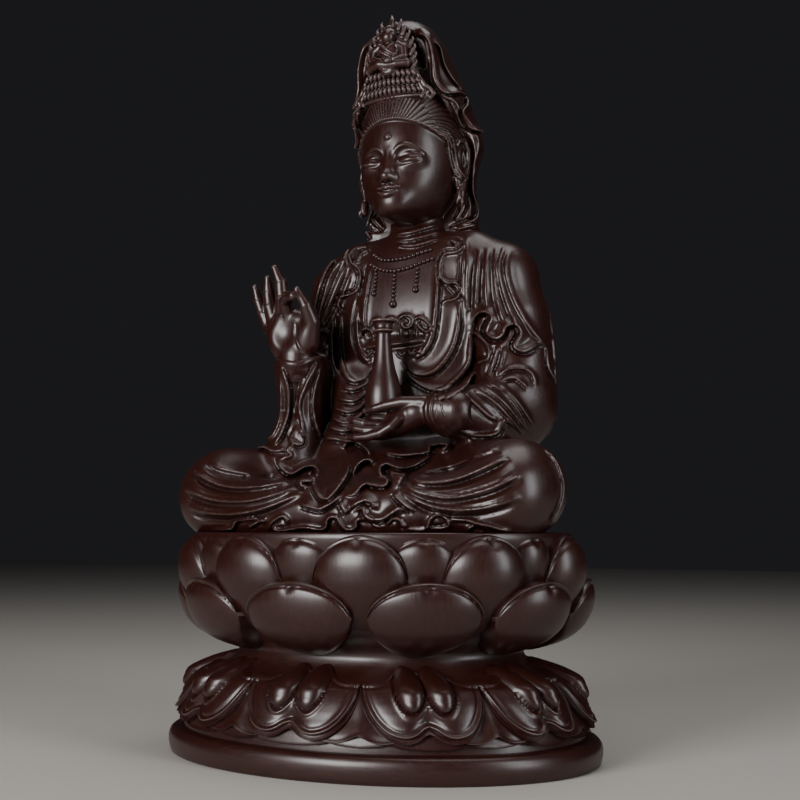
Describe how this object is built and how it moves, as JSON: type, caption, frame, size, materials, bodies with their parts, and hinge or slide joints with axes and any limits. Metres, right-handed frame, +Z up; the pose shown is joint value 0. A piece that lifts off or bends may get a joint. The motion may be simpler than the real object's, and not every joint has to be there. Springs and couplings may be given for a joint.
{
  "type": "seated guanyin figure on a lotus throne",
  "caption": "Seated Guanyin carved in dark wood, right hand raised, vase on the left palm, veil over a crown, on an oval double lotus throne.",
  "frame": {"origin": "centre of the underside of the throne's oval foot", "axes": "+Z up, -Y the way the figure faces, +X to the figure's left"},
  "size_m": [0.237, 0.174, 0.4085],
  "materials": {
    "ebony": "satin"
  },
  "bodies": {
    "root": {"guanyin_figure": "ebony", "lotus_throne": "ebony"}
  },
  "joints": []
}
